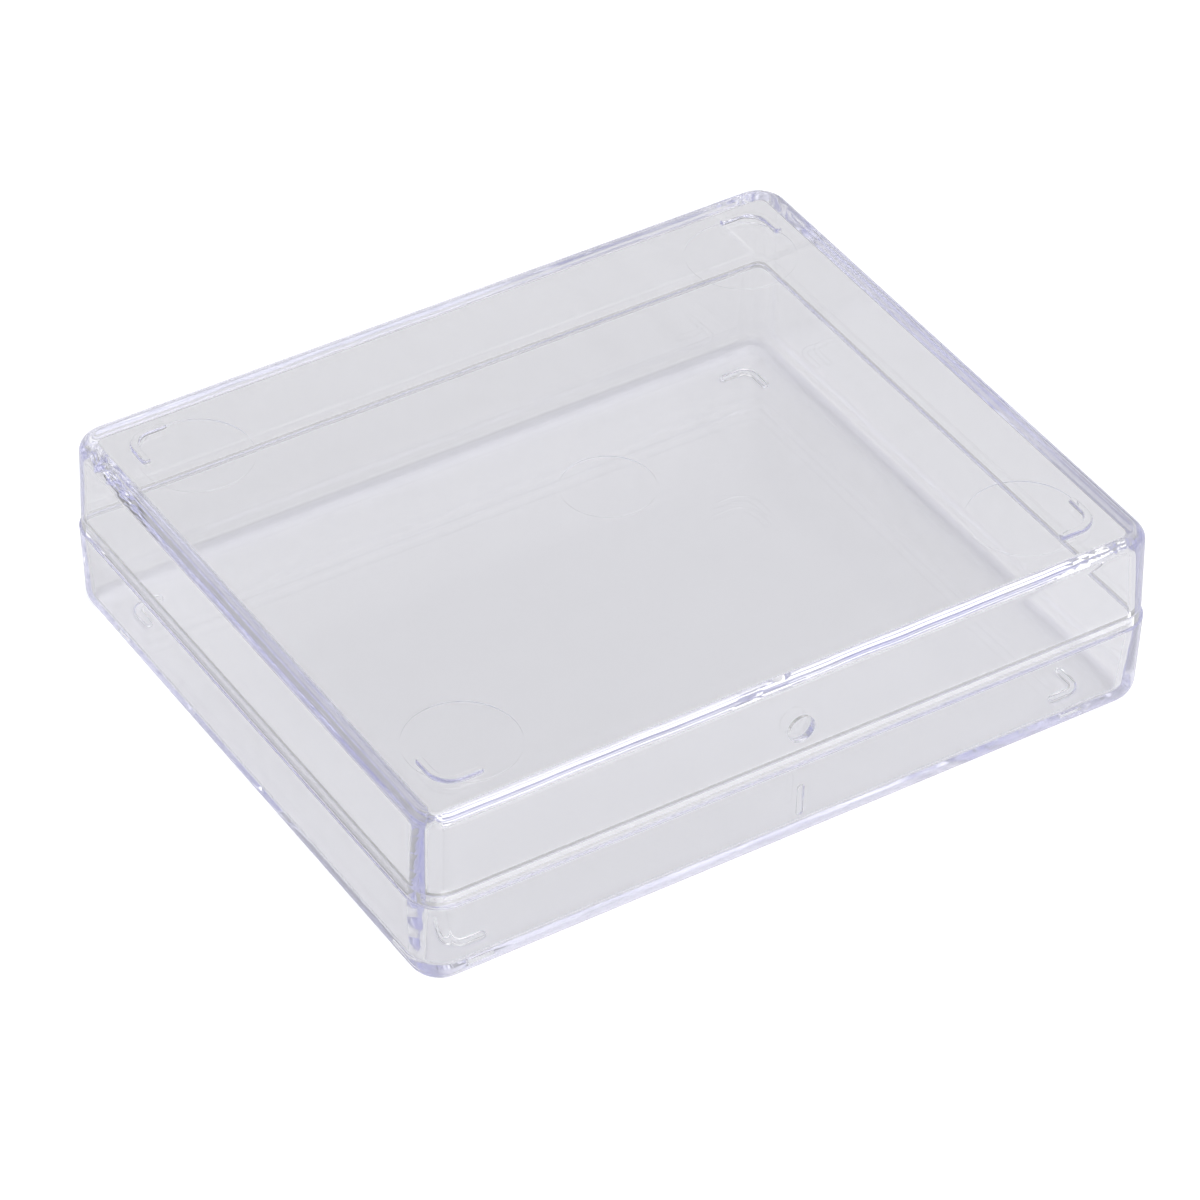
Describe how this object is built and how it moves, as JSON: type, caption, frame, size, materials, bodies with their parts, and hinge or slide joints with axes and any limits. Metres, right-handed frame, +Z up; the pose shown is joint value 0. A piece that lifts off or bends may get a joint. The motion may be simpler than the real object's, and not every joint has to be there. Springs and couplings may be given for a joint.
{
  "type": "clear lidded box",
  "caption": "Low rectangular clear plastic box for collection or display, with a lift-off lid that fits on a stepped rim; corner ribs and feet let boxes stack.",
  "frame": {"origin": "on the surface the box stands on, under the centre of the closed box", "axes": "+Z up, +X along the long side, -Y towards the side with the gate marks"},
  "size_m": [0.108, 0.0904, 0.0281],
  "materials": {
    "clear_styrene": "clear, polished mould finish"
  },
  "bodies": {
    "tray": {"tray": "clear_styrene"},
    "lid": {"lid": "clear_styrene"}
  },
  "joints": [
    {"name": "lid_lift", "type": "slide", "parent": "tray", "child": "lid", "axis": [0, 0, 1], "range_m": [0, 0.04]}
  ]
}
